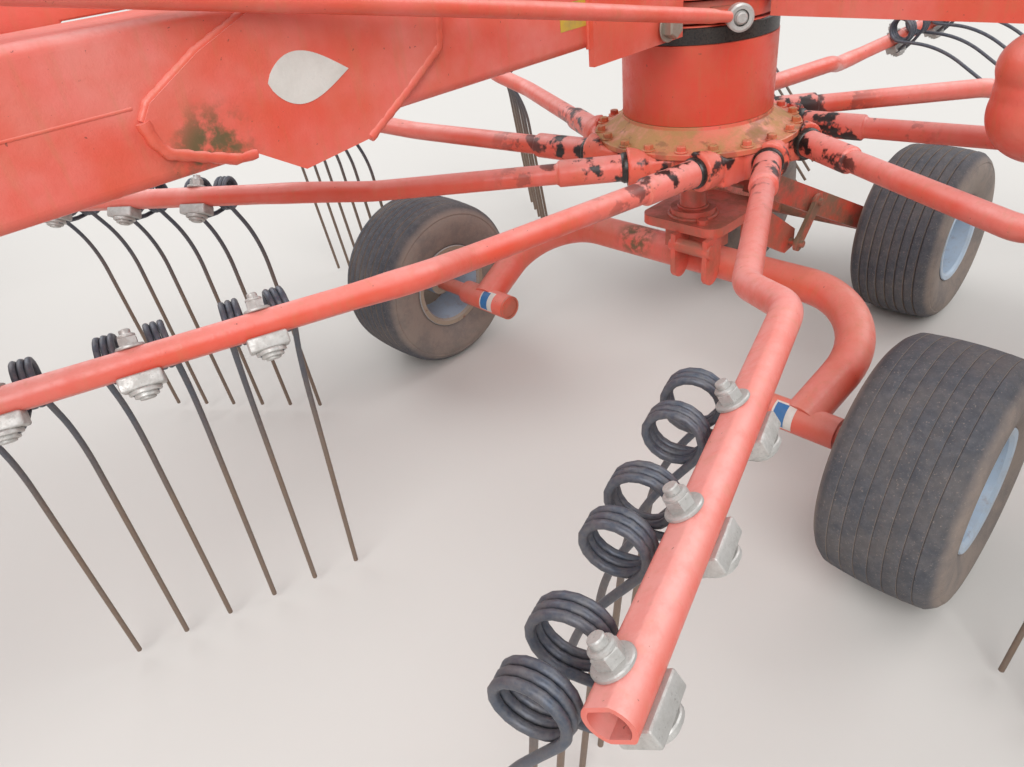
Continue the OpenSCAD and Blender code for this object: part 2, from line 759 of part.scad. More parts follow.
// Guarded shafts of the drive line and the splined input at the drawbar's front
module drive_line() {
    x = front_rotor.x + drive_side;
    front_x = hitch.x - 260;
    color("#26282b") {
        difference() {
            union() {
                rod([x, drawbar_y, drive_z], [x, front_rotor.y + 235, drive_z], 38);
                rod([x, drawbar_y, drive_z], [x, pivot.y - drive_side, drive_z], 38);
                rod([x, drawbar_y, drive_z], [front_x - 18, drawbar_y, 1000], 38);
            }
            centre_gearbox();
        }
        difference() {
            rod([x - 90, pivot.y - drive_side, drive_z], [pivot.x + 20, pivot.y - drive_side, drive_z], 72);
            rod([x - 98, pivot.y - drive_side, drive_z], [pivot.x + 10, pivot.y - drive_side, drive_z], 64);
        }
    }
    color(red) difference() {
        block([front_x - 20, drawbar_y - 50, 790], [front_x + 60, drawbar_y + 50, 1060]);
        drawbar();
    }
    color(steel) rod([front_x + 60, drawbar_y, 1000], [front_x + 160, drawbar_y, 1000], 17.4);
}

cross_beam();
drawbar();
translate(front_rotor) rotate([0, 0, 90]) head();  // front_head
centre_gearbox();
drive_line();
steering_bracket();
stand_sleeve();
translate(front_rotor) bogie(false);  // front_bogie
translate(front_rotor) axle();  // front_axle
translate(front_rotor) tail();  // front_tail
headstock();
stand_leg();
boom();
shaft_cover();
boom_shaft();
translate(rear_rotor) head();  // rear_head
curtain_beam();
tie_rod();
translate(rear_rotor) bogie(true);  // rear_bogie
translate(rear_rotor) axle();  // rear_axle
translate(rear_rotor) tail();  // rear_tail
curtain_arm();
curtain();
for (r = ROTORS) {
    translate(rotor_place(r)) hub();
    translate(rotor_place(r)) carriers(r);
    translate(rotor_place(r)) arms_of(r);
    translate(rotor_place(r)) tines_of(r);
    for (w = WHEELS) {
        translate(rotor_place(r) + wheel_place(w)) tyre();
        translate(rotor_place(r) + wheel_place(w)) rim(wheel_side(w));
    }
}
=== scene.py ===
"""Dresses the twin rotor hay rake: tines, arms, wheels, beams and their finishes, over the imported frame."""
import math

import bpy
from bpy.props import FloatProperty, FloatVectorProperty, PointerProperty
from mathutils import Matrix, Vector


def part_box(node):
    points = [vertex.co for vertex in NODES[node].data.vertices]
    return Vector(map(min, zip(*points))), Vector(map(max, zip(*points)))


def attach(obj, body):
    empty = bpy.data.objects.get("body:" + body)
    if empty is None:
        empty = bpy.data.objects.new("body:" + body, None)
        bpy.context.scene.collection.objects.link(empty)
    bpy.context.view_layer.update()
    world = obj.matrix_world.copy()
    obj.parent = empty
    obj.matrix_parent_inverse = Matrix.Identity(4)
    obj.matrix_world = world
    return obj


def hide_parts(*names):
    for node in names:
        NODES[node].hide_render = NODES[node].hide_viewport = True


bl_info = {
    "name": "Twin rotor hay rake",
    "version": (1, 0, 0),
    "blender": (4, 5, 0),
    "location": "View3D > Sidebar > Rake",
    "description": "Builds the visible pieces and finishes of a trailed hay rake",
    "category": "Object",
}

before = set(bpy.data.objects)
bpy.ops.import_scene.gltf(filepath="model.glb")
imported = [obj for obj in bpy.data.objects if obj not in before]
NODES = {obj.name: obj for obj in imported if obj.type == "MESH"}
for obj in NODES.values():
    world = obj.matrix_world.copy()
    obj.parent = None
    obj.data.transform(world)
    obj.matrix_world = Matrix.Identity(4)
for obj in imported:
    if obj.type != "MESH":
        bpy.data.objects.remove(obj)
ROTORS = ("front", "rear")
# Wheel middles in X and Y from a bogie's rotor axis
WHEELS = {"front_left": (0.287, 0.680), "front_right": (0.287, -0.680),
          "rear_left": (-0.688, 0.292), "rear_right": (-0.688, -0.292)}
CARRIED_BY = {"front": "frame", "rear": "rear_bogie"}


def middle(node):
    """Middle of a CAD node's box, on the floor."""
    low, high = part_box(node)
    return Vector(((low.x + high.x) / 2, (low.y + high.y) / 2, 0))


AXIS = {rotor: middle(f"{rotor}_hub") for rotor in ROTORS}
ARMS = 10
# Azimuth of each rotor's first arm
PHASE = {"rear": -9.84, "front": 8.16}
# Roll of an arm against its azimuth, as the cam gives it
ROLL = ((-118, 0), (62, 0), (98, 32), (134, 63), (170, 55), (206, 28), (242, 0))
# How far an arm's bearing line passes beside the rotor's axis, and its height
ARM_OFFSET, ARM_Z = 0.162, 0.638
# Along an arm: the ends of the bearing's collar and the sleeve, the tube's bends and tip, and the tines
COLLAR_END, SLEEVE_END = 0.170, 0.310
CRANK_LOW, CRANK_HIGH = Vector((0.700, 0, 0)), Vector((0.820, 0.060, 0.031))
ARM_TIP = Vector((1.435, -0.034, 0.031))
STATIONS = (1.062, 1.230, 1.398)
ARM_R, WIRE_R = 0.0212, 0.0047
# Half the height of an arm's pressed outer part, and how far its flats and clamps lean
FLAT, TILT = 0.0182, 33
TYRE_R, BEAM_LOW = 0.2285, 0.905
SPINDLE_X = WHEELS["front_left"][0]
# From the rear rotor's axis: the tie rod's ball joints, and the way the rear one faces
ROD_REAR, ROD_FRONT, ROD_FACES = Vector((0.156, 0.183, 0.912)), Vector((2.600, -0.098, 1.370)), (36, 42, 0)
# Where the camera stands from the rear rotor's axis, and which ways are right and up in its picture
CAMERA_AT, LENS_MM = Vector((1.4582, 0.9477, 1.1569)), 26.72
CAMERA_RIGHT, CAMERA_UP = Vector((-0.7016, 0.7054, -0.0997)), Vector((-0.4524, -0.3331, 0.8272))
# Each lamp's place from the rear rotor's axis and its strength, and how wide they all are
LAMPS = {"key": ((4.2, 4.2, 4.9), 2.35), "fill": ((-5.6, 2.4, 5.1), 1.15), "back": ((0.0, -7.2, 5.6), 1.05)}
LAMP_WIDTH_DEG = 45


class RakeSizes(bpy.types.PropertyGroup):
    bead: FloatProperty(name="Weld bead", description="Radius of the weld beads",
                        default=0.005, unit="LENGTH")
    coil: FloatProperty(name="Coil", description="Mean radius of the tine coils",
                        default=0.031, unit="LENGTH")
    turns: FloatProperty(name="Turns", description="Turns of a tine coil", default=2.85)
    groove: FloatProperty(name="Tread groove", description="Depth of the tread grooves",
                          default=0.006, unit="LENGTH")


def colour(name, description, code):
    """A colour property with an sRGB hex default."""
    return FloatVectorProperty(name=name, description=description, default=linear(code)[:3], subtype="COLOR",
                               min=0, max=1)


def linear(code):
    """An sRGB hex colour as linear RGBA."""
    parts = [int(code[i:i + 2], 16) / 255 for i in (1, 3, 5)]
    return (*[c / 12.92 if c <= 0.04045 else ((c + 0.055) / 1.055) ** 2.4 for c in parts], 1.0)


class RakeColours(bpy.types.PropertyGroup):
    red: colour("Red", "Sprayed enamel of beams and arms", "#DC5642")
    # The faded colour is also a painted sky highlight: laid on upper faces, it lightens them as light from
    # above would
    faded_and_highlight: colour("Faded red", "The same enamel where the sun has chalked it", "#EFAAA4")
    deep: colour("Deep red", "Enamel of the column, less faded", "#DA4A36")
    dust: colour("Dust", "Ochre dust and moss on the skirts", "#A08450")
    mud: colour("Mud", "Dried soil on the lower parts", "#7E6A55")
    grease: colour("Grease", "Old black grease at the bearings", "#2A2120")
    spring: colour("Spring steel", "Oil-tempered wire", "#4B5361")
    rust: colour("Rusty tine", "Wire below the knee, polished and browned by hay", "#7C6859")
    cast: colour("Zinc", "Clamps and washers", "#C2C0BC")
    rubber: colour("Rubber", "Worn tyre tread", "#45474D")
    silver: colour("Rim silver", "Enamel of the rims", "#ABBBCB")


def sizes():
    return bpy.context.scene.rake_sizes


def tint(name):
    """One of the rake's own colours, as a user has set it."""
    return (*getattr(bpy.context.scene.rake_colours, name), 1.0)


def clear():
    """Object mode with nothing selected."""
    if bpy.context.object and bpy.context.object.mode != "OBJECT":
        bpy.ops.object.mode_set(mode="OBJECT")
    bpy.ops.object.select_all(action="DESELECT")


def pick(piece):
    """The piece alone selected and active."""
    clear()
    piece.select_set(True)
    bpy.context.view_layer.objects.active = piece
    return piece


def apply(piece, kind, **settings):
    """Adds a modifier and applies it."""
    pick(piece)
    bpy.ops.object.modifier_add(type=kind)
    modifier = piece.modifiers[-1]
    for key, value in settings.items():
        setattr(modifier, key, value)
    bpy.ops.object.modifier_apply(modifier=modifier.name)
    return piece


def moved(piece, matrix):
    """Turns and places the piece's own mesh."""
    piece.data.transform(matrix)
    if matrix.determinant() < 0:
        pick(piece)
        bpy.ops.object.mode_set(mode="EDIT")
        bpy.ops.mesh.select_all(action="SELECT")
        bpy.ops.mesh.normals_make_consistent(inside=False)
        bpy.ops.object.mode_set(mode="OBJECT")
    return piece


def copied(piece, matrix):
    """A copy with its own mesh, placed by matrix."""
    other = piece.copy()
    other.data = piece.data.copy()
    bpy.context.scene.collection.objects.link(other)
    return moved(other, matrix)


def dropped(*pieces):
    for piece in pieces:
        bpy.data.objects.remove(piece)


def joined(pieces):
    clear()
    for piece in pieces:
        piece.select_set(True)
    bpy.context.view_layer.objects.active = pieces[0]
    if len(pieces) > 1:
        bpy.ops.object.join()
    return bpy.context.object


def finished(piece, name, finish, body, replaces=(), smooth=32):
    """Names the piece, gives it its finish and shading, and puts it on its body."""
    pick(piece)
    bpy.ops.object.transform_apply(location=True, rotation=True, scale=True)
    if smooth:
        bpy.ops.object.shade_smooth_by_angle(angle=math.radians(smooth))
    piece.name = piece.data.name = name
    piece.data.materials.clear()
    piece.data.materials.append(finish)
    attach(piece, body)
    if replaces:
        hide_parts(*replaces)
    return piece


def turned(profile, segments, ring=False):
    """A turned piece about Z: a circle extruded and resized through (radius, height) points."""
    clear()
    radius, height = profile[0]
    bpy.ops.mesh.primitive_circle_add(vertices=segments, radius=radius, location=(0, 0, height))
    piece = bpy.context.object
    bpy.ops.object.transform_apply(location=True, rotation=True, scale=True)
    bpy.ops.object.mode_set(mode="EDIT")
    bpy.ops.mesh.select_all(action="SELECT")
    for r, z in list(profile[1:]) + ([profile[0]] if ring else []):
        bpy.ops.mesh.extrude_region_move(TRANSFORM_OT_translate={"value": (0, 0, z - height)})
        bpy.ops.transform.resize(value=(r / radius, r / radius, 1), center_override=(0, 0, z))
        radius, height = r, z
    bpy.ops.mesh.select_all(action="SELECT")
    if ring:
        bpy.ops.mesh.remove_doubles(threshold=1e-5)
    else:
        bpy.ops.mesh.fill_holes(sides=0)
    bpy.ops.mesh.normals_make_consistent(inside=False)
    bpy.ops.object.mode_set(mode="OBJECT")
    return piece


def tube(points, radius, sides, caps=True, swell=None):
    """A round bar or wire through points; swell gives a factor on the radius at each point."""
    clear()
    bpy.ops.curve.primitive_nurbs_path_add(location=(0, 0, 0))
    piece = bpy.context.object
    shape = piece.data
    shape.splines.clear()
    line = shape.splines.new("POLY")
    line.points.add(len(points) - 1)
    for i, (point, place) in enumerate(zip(line.points, points)):
        point.co = (*place, 1)
        point.radius = swell[i] if swell else 1
    shape.bevel_depth = radius
    shape.bevel_resolution = (sides - 4) // 2
    shape.use_fill_caps = caps
    bpy.ops.object.convert(target="MESH")
    return bpy.context.object


def bent(path, radius, steps):
    """The path with each corner rounded to the radius in so many steps."""
    out = [Vector(path[0])]
    for before, corner, after in zip(path, path[1:], path[2:]):
        before, corner, after = Vector(before), Vector(corner), Vector(after)
        u, v = (corner - before).normalized(), (after - corner).normalized()
        turn = u.angle(v)
        if turn < 0.01:
            out.append(corner)
            continue
        reach = radius * math.tan(turn / 2)
        start = corner - u * reach
        centre = start + (v - u * v.dot(u)).normalized() * radius
        axis = u.cross(v)
        for k in range(steps + 1):
            out.append(centre + Matrix.Rotation(turn * k / steps, 3, axis) @ (start - centre))
    out.append(Vector(path[-1]))
    return out


def block(low, high, edge=0.0):
    """A box, its edges rounded to edge."""
    low, high = Vector(low), Vector(high)
    clear()
    bpy.ops.mesh.primitive_cube_add(size=1, location=(low + high) / 2, scale=high - low)
    piece = bpy.context.object
    bpy.ops.object.transform_apply(location=True, rotation=True, scale=True)
    if edge:
        bpy.ops.object.mode_set(mode="EDIT")
        bpy.ops.mesh.select_all(action="SELECT")
        bpy.ops.mesh.bevel(offset=edge, segments=3, affect="EDGES")
        bpy.ops.object.mode_set(mode="OBJECT")
    return piece


def plate(outline, depth):
    """A flat plate: outline in XY, standing up along Z by depth."""
    clear()
    bpy.ops.mesh.primitive_circle_add(vertices=len(outline), radius=1, fill_type="NGON")
    piece = bpy.context.object
    for vertex, (x, y) in zip(piece.data.vertices, outline):
        vertex.co = (x, y, 0)
    bpy.ops.object.mode_set(mode="EDIT")
    bpy.ops.mesh.select_all(action="SELECT")
    bpy.ops.mesh.extrude_region_move(TRANSFORM_OT_translate={"value": (0, 0, depth)})
    bpy.ops.mesh.select_all(action="SELECT")
    bpy.ops.mesh.normals_make_consistent(inside=False)
    bpy.ops.object.mode_set(mode="OBJECT")
    return piece


def bolt(flats, height, washer=0.0, shank=0.0, end=0.0):
    """A hexagon head or nut on its washer, with the bolt's end standing out; its seat is at z = 0."""
    parts = []
    if washer:
        edge = washer - 0.001
        parts.append(turned([(edge, 0), (washer, 0.001), (washer, 0.0025), (edge, 0.0035)], 24))
    across = flats / 2 / math.cos(math.pi / 6)
    seat = 0.003 if washer else 0
    parts.append(turned([(across, seat), (across, seat + height * 0.85), (across * 0.86, seat + height)], 6))
    if shank:
        top = seat + height
        parts.append(turned([(shank, top - 0.002), (shank, top + end * 0.8), (shank * 0.8, top + end)], 12))
    return joined(parts)


def bead(points, radius, ripple):
    """A weld bead laid along the joint; ripple is its swell as a share of the radius."""
    path = [Vector(points[0])]
    for a, b in zip(points, points[1:]):
        a, b = Vector(a), Vector(b)
        steps = max(1, round((b - a).length / (radius * 0.8)))
        path += [a.lerp(b, k / steps) for k in range(1, steps + 1)]
    swell = [1 + ripple * (math.sin(i * 2.1) + 0.5 * math.sin(i * 0.77 + 1)) for i in range(len(path))]
    return tube(path, radius, 8, swell=swell)


def circle(radius, z):
    """Points round a circle about Z, the last on the first."""
    return [Vector((radius * math.cos(a), radius * math.sin(a), z))
            for a in (math.radians(7.5 * k) for k in range(49))]


def at(x, y, z):
    return Matrix.Translation((x, y, z))


def turn(degrees, axis):
    return Matrix.Rotation(math.radians(degrees), 4, axis)


def placed(rotor, x=0.0, y=0.0, z=0.0):
    """Matrix that moves a piece to a place measured from a rotor's axis on the ground."""
    return Matrix.Translation(AXIS[rotor] + Vector((x, y, z)))


def on_left(x, y, z):
    """Matrix that lays a flat piece on the left side of the rear boom: its X runs rearward, its Y up."""
    return placed("rear", x, y, z) @ Matrix(((-1, 0, 0, 0), (0, 0, 1, 0), (0, 1, 0, 0), (0, 0, 0, 1)))


def towards(place, direction):
    """Matrix that puts +Z along direction at place."""
    return Matrix.Translation(place) @ Vector(direction).to_track_quat("Z", "Y").to_matrix().to_4x4()


def add(tree, kind, *values, out=0, **settings):
    """Adds a shader node and gives back one of its outputs. The values, in the order of its sockets or in a
    dict by socket, are constants or other nodes' outputs."""
    made = tree.nodes.new("ShaderNode" + kind)
    for key, value in settings.items():
        setattr(made, key, value)
    sockets = values[0] if values and isinstance(values[0], dict) else dict(enumerate(values))
    for socket, value in sockets.items():
        if isinstance(value, bpy.types.NodeSocket):
            tree.links.new(value, made.inputs[socket])
        else:
            made.inputs[socket].default_value = value
    return made.outputs[out]


def fresh(name, **sockets):
    """A new material with its tree, shader and object coordinates."""
    finish = bpy.data.materials.new(name)
    finish.use_nodes = True
    shader = finish.node_tree.nodes["Principled BSDF"]
    for key, value in sockets.items():
        shader.inputs[key].default_value = value
    return finish, finish.node_tree, shader, add(finish.node_tree, "TexCoord", out="Object")


def patches(tree, place, size_mm, detail, rough, low, high):
    """Cloudy patches size_mm across, 0 below one level of the noise and 1 above the other."""
    cloud = add(tree, "TexNoise", {"Vector": place, "Scale": 1000 / size_mm, "Detail": detail,
                                   "Roughness": rough}, out="Fac")
    return add(tree, "MapRange", cloud, low, high, interpolation_type="SMOOTHSTEP")


def facing(tree, axis, low, high, sign=1):
    """1 on the faces that look along the axis, or against it with sign -1."""
    part = add(tree, "SeparateXYZ", add(tree, "NewGeometry", out="Normal"), out=axis)
    along = add(tree, "Math", part, sign, operation="MULTIPLY")
    return add(tree, "MapRange", along, low, high, interpolation_type="SMOOTHSTEP")


def coated(tree, ground, *coats):
    """Lays coats over a ground colour in turn, each a mask, its strength and its colour."""
    for mask, strength, coat in coats:
        cover = add(tree, "Math", mask, strength, operation="MULTIPLY")
        ground = add(tree, "Mix", {0: cover, 6: ground, 7: coat}, out=2, data_type="RGBA")
    return ground


def dressed(tree, shader, shade, rough, relief, strength, depth):
    """Puts colour, roughness and relief on the shader; depth is in metres."""
    bump = add(tree, "Bump", {"Height": relief, "Strength": strength, "Distance": depth})
    for socket, value in (("Base Color", shade), ("Roughness", rough), ("Normal", bump)):
        if value:
            tree.links.new(value, shader.inputs[socket])


def enamel(name, base, faded_and_highlight, dusty, soil_colour="dust", stain=None, grease=None):
    """Sprayed alkyd enamel on steel, years outdoors: satin, chalked pink on its upper faces, where a painted
    sky highlight lightens them too, mottled and chipped, with runs and patches of soil and, about a rotor's
    axis, black grease. The grease is given by the axis, its strength and the distances where it is full and
    where it ends."""
    finish, tree, shader, place = fresh(name, Roughness=0.42, IOR=1.5)
    cloud = patches(tree, place, 260, 4, 0.6, 0.35, 0.65)
    mottle = patches(tree, place, 22, 5, 0.7, 0.42, 0.66)
    up = facing(tree, "Z", 0.25, 0.95)
    clouded = add(tree, "Math", cloud, 0.45, operation="MULTIPLY")
    # Upper faces and random clouds lighten towards the faded colour: sun-chalked paint, and a sky highlight
    # painted on the upper faces
    chalk_and_highlight = add(tree, "Math", up, 0.75, clouded, operation="MULTIPLY_ADD")
    streaked = add(tree, "Mapping", {"Vector": place, "Scale": (1, 1, 0.12)})
    runs = patches(tree, streaked, 12, 2, 0.5, 0.52, 0.74)
    chips = patches(tree, place, 8, 3, 0.6, 0.71, 0.74)
    film = patches(tree, place, 90, 6, 0.68, 0.36, 0.62)
    settled = add(tree, "Math", up, 0.5, film, operation="MULTIPLY_ADD")
    soil = add(tree, "Math", settled, dusty, operation="MULTIPLY", use_clamp=True)
    coats = [(chalk_and_highlight, faded_and_highlight, tint("faded_and_highlight")), (mottle, 0.16, tint("deep")), (runs, 0.12, tint("dust")),
             (chips, 0.6, linear("#4A342C")), (soil, 1, tint(soil_colour))]
    if grease:
        axis, strength, full, clean = grease
        level = add(tree, "VectorMath", place, (1, 1, 0), operation="MULTIPLY")
        away = add(tree, "VectorMath", level, (axis.x, axis.y, 0), out="Value", operation="DISTANCE")
        near = add(tree, "MapRange", away, full, clean, 1, 0, interpolation_type="SMOOTHSTEP")
        smear = patches(tree, place, 55, 4, 0.6, 0.53, 0.60)
        coats.append((add(tree, "Math", smear, near, operation="MULTIPLY"), strength, tint("grease")))
    if stain:
        away = add(tree, "VectorMath", place, AXIS["rear"] + Vector(stain), out="Value", operation="DISTANCE")
        near = add(tree, "MapRange", away, 0.02, 0.07, 1, 0, interpolation_type="SMOOTHSTEP")
        blot = add(tree, "Math", near, patches(tree, place, 24, 4, 0.6, 0.4, 0.6), operation="MULTIPLY")
        coats.append((blot, 1, linear("#6B5A3E")))
    sheen = add(tree, "Math", mottle, 0.16, 0.34, operation="MULTIPLY_ADD")
    dull = add(tree, "Math", soil, 0.9, operation="MULTIPLY")
    peel = patches(tree, place, 4, 2, 0.5, 0.3, 0.7)
    rough = add(tree, "Math", sheen, dull, operation="MAXIMUM")
    relief = add(tree, "Math", peel, 0.35, mottle, operation="MULTIPLY_ADD")
    dressed(tree, shader, coated(tree, tint(base), *coats), rough, relief, 0.25, 0.0008)
    return finish


def spring_wire():
    """Oil-tempered spring wire: blue-black scale above, worn brown and dull by hay and soil below."""
    finish, tree, shader, place = fresh("spring wire", Metallic=0.35)
    height = add(tree, "SeparateXYZ", place, out="Z")
    low = add(tree, "MapRange", height, 0.30, 0.60, 1, 0, interpolation_type="SMOOTHSTEP")
    speck = patches(tree, place, 6, 4, 0.7, 0.35, 0.7)
    cloud = add(tree, "Math", patches(tree, place, 40, 4, 0.65, 0.3, 0.7), 0.22, operation="MULTIPLY")
    worn = add(tree, "Math", low, 0.9, cloud, operation="MULTIPLY_ADD", use_clamp=True)
    shade = coated(tree, tint("spring"), (worn, 1, tint("rust")), (speck, 0.3, linear("#8C8680")))
    rough = add(tree, "Math", speck, 0.2, 0.38, operation="MULTIPLY_ADD")
    dressed(tree, shader, shade, rough, speck, 0.3, 0.0004)
    return finish


def zinc():
    """Hot-dip zinc on cast and forged steel: matt, chalky grey with darker seams."""
    finish, tree, shader, place = fresh("weathered zinc", Metallic=0.4)
    cloud = patches(tree, place, 18, 5, 0.7, 0.35, 0.65)
    pits = patches(tree, place, 3, 3, 0.6, 0.6, 0.75)
    shade = coated(tree, tint("cast"), (cloud, 0.45, linear("#96928C")), (pits, 0.4, linear("#605A54")))
    rough = add(tree, "Math", cloud, 0.25, 0.36, operation="MULTIPLY_ADD")
    relief = add(tree, "Math", pits, -0.6, cloud, operation="MULTIPLY_ADD")
    dressed(tree, shader, shade, rough, relief, 0.35, 0.0006)
    return finish


def rubber(side):
    """Moulded tyre rubber, worn to a matt blue-grey, with dried soil on the flanks and in specks."""
    finish, tree, shader, place = fresh(f"tyre rubber {side}", Roughness=0.85, IOR=1.5)
    scuff = patches(tree, place, 16, 6, 0.75, 0.35, 0.7)
    film = patches(tree, place, 120, 5, 0.7, 0.38, 0.62)
    specks = patches(tree, place, 4, 4, 0.7, 0.60, 0.68)
    flanks = [facing(tree, "Y", 0.62, 0.86, way) for way in (-side, side)]
    flank = add(tree, "Math", *flanks, operation="MAXIMUM")
    caked = add(tree, "Math", film, 0.3, 0.5, operation="MULTIPLY_ADD")
    soil = add(tree, "Math", flank, caked, operation="MULTIPLY")
    shade = coated(tree, tint("rubber"), (scuff, 0.6, linear("#606065")), (film, 0.18, linear("#8A7C6E")),
                   (specks, 0.45, linear("#A39384")), (soil, 1, linear("#94857A")))
    dressed(tree, shader, shade, None, add(tree, "Math", scuff, specks, operation="ADD"), 0.4, 0.0012)
    return finish


def rim_enamel(side):
    """Silver enamel on pressed steel; the inner side is coated with dried soil and rust."""
    finish, tree, shader, place = fresh(f"rim enamel {side}", Metallic=0.15)
    film = patches(tree, place, 45, 6, 0.7, 0.45, 0.66)
    rust = patches(tree, place, 20, 5, 0.75, 0.56, 0.68)
    inner = facing(tree, "Y", 0.35, 0.8, -side)
    thin = add(tree, "Math", film, 0.2, operation="MULTIPLY")
    thick = add(tree, "Math", inner, 0.85, operation="MULTIPLY")
    soil = add(tree, "Math", thin, thick, operation="MAXIMUM")
    damp = add(tree, "Math", inner, 0.55, 0.25, operation="MULTIPLY_ADD")
    rusty = add(tree, "Math", rust, damp, operation="MULTIPLY")
    shade = coated(tree, tint("silver"), (soil, 1, linear("#9A8468")), (rusty, 1, linear("#7A4530")))
    rough = add(tree, "MapRange", soil, 0, 1, 0.4, 0.85, interpolation_type="SMOOTHSTEP")
    dressed(tree, shader, shade, rough, film, 0.2, 0.0006)
    return finish


def plain(name, code, rough, metal=0.0, grain_mm=6.0, contrast=0.25):
    """Moulded plastic, vinyl or bare steel with a fine mottle and a thin film of dust."""
    finish, tree, shader, place = fresh(name, Metallic=metal)
    mottle = patches(tree, place, grain_mm, 5, 0.7, 0.35, 0.7)
    film = patches(tree, place, 80, 5, 0.7, 0.45, 0.7)
    shade = coated(tree, linear(code), (mottle, contrast, linear("#8A8072")),
                   (film, contrast, linear("#6F6555")))
    uneven = add(tree, "Math", mottle, 0.15, rough - 0.08, operation="MULTIPLY_ADD")
    dressed(tree, shader, shade, uneven, mottle, 0.2, 0.0005)
    return finish


def coated_cloth():
    """Woven polyester with a black coating: a square weave shows through it, drawn coarser than the threads
    so that it shows in the picture."""
    finish, tree, shader, place = fresh("coated cloth", Roughness=0.6)
    threads = [add(tree, "TexWave", {"Vector": place, "Scale": 70, "Distortion": 0.3, "Detail": 1},
                   out="Fac", bands_direction=axis) for axis in ("X", "Z")]
    film = patches(tree, place, 300, 5, 0.6, 0.35, 0.7)
    shade = coated(tree, linear("#26272A"), (film, 0.14, linear("#6B6250")))
    dressed(tree, shader, shade, None, add(tree, "Math", *threads, operation="MULTIPLY"), 0.35, 0.0006)
    return finish


# Each enamel's name, base colour, chalking with a painted highlight on upper faces, soil, the soil's colour
# and a stain's place from the rear axis
ENAMELS = {
    "beam": ("beam enamel", "red", 0.5, 0.10),
    "frame": ("frame enamel", "red", 0.4, 0.18),
    "tail": ("dusty enamel", "red", 0.2, 0.9, "mud"),
    "bogie": ("bogie enamel", "red", 0.2, 0.5, "mud"),
    "axle": ("axle enamel", "red", 0.45, 0.12, "dust", (0.02, -0.150, 0.375)),
    "boom": ("boom enamel", "red", 0.92, 0.08, "dust", (1.095, 0.068, 0.928)),
}
# The same for each rotor up to the soil, then the grease and where it is full and where it ends
ROTOR_ENAMELS = {
    "hub": ("column enamel", "deep", 0.15, 0.12),
    "arms": ("arm enamel", "red", 0.66, 0.05, 1.0, 0.30, 0.52),
    "skirt": ("skirt enamel", "red", 0.3, 0.6, 0.35, 0.19, 0.30),
    "carriers": ("casting enamel", "red", 0.25, 0.12, 1.0, 0.2, 0.6),
}
# Name, colour, roughness, metallic, grain in millimetres and how far the grain shows
PLAIN_FINISHES = {
    # Zinc-plated steel gone dull and warm; bare sliding steel is shinier
    "bolt": ("plated steel", "#A39C90", 0.45, 0.6),
    "steel": ("bare steel", "#8C8B88", 0.4, 0.8),
    # Blown polyethylene, black with a soft sheen; nitrile rubber, wet with grease
    "guard": ("guard plastic", "#1E1F21", 0.45, 0.0, 3),
    "seal": ("greasy seal", "#171415", 0.35, 0.0, 4, 0.12),
    # Vinyl film: smooth, with a soft shine
    "white": ("white vinyl", "#DAD5CE", 0.35, 0.0, 30, 0.12),
    "blue": ("blue vinyl", "#2F6FA8", 0.35, 0.0, 30, 0.12),
    "yellow": ("yellow vinyl", "#C9A83A", 0.4, 0.0, 20, 0.3),
}
OTHER_FINISHES = {"wire": spring_wire, "zinc": zinc, "cloth": coated_cloth}
FINISHES = {}


def finish_for(name):
    """Makes each finish once, when it is first asked for. One with two words, such as rear_arms or rim_-1,
    belongs to a rotor or to the wheels on one side."""
    if name not in FINISHES:
        first, _, second = name.partition("_")
        if name in ENAMELS:
            finish = enamel(*ENAMELS[name])
        elif name in PLAIN_FINISHES:
            finish = plain(*PLAIN_FINISHES[name])
        elif first in ROTORS:
            label, base, faded_and_highlight, dusty, *grease = ROTOR_ENAMELS[second]
            finish = enamel(f"{first} {label}", base, faded_and_highlight, dusty, grease=grease and (AXIS[first], *grease))
        elif second:
            finish = {"rubber": rubber, "rim": rim_enamel}[first](int(second))
        else:
            finish = OTHER_FINISHES[name]()
        FINISHES[name] = finish
    return FINISHES[name]


def roll_at(azimuth):
    """Roll of an arm that points to the azimuth."""
    azimuth = (azimuth - ROLL[0][0]) % 360 + ROLL[0][0]
    for (a, low), (b, high) in zip(ROLL, ROLL[1:]):
        if a <= azimuth <= b:
            return low + (high - low) * (azimuth - a) / (b - a)
    return 0.0


def arm_frames(rotor):
    """The frame of each arm: +X outward along its bearing, rolled as the cam sets it."""
    for i in range(ARMS):
        azimuth = PHASE[rotor] + 36 * i
        yield placed(rotor) @ turn(azimuth, "Z") @ at(0, ARM_OFFSET, ARM_Z) @ turn(-roll_at(azimuth), "X")


def stations():
    """The frame of each double tine in its arm's frame."""
    along = (ARM_TIP - CRANK_HIGH).normalized()
    heading = turn(math.degrees(math.atan2(along.y, along.x)), "Z")
    for out in STATIONS:
        yield Matrix.Translation(CRANK_HIGH + along * ((out - CRANK_HIGH.x) / along.x)) @ heading


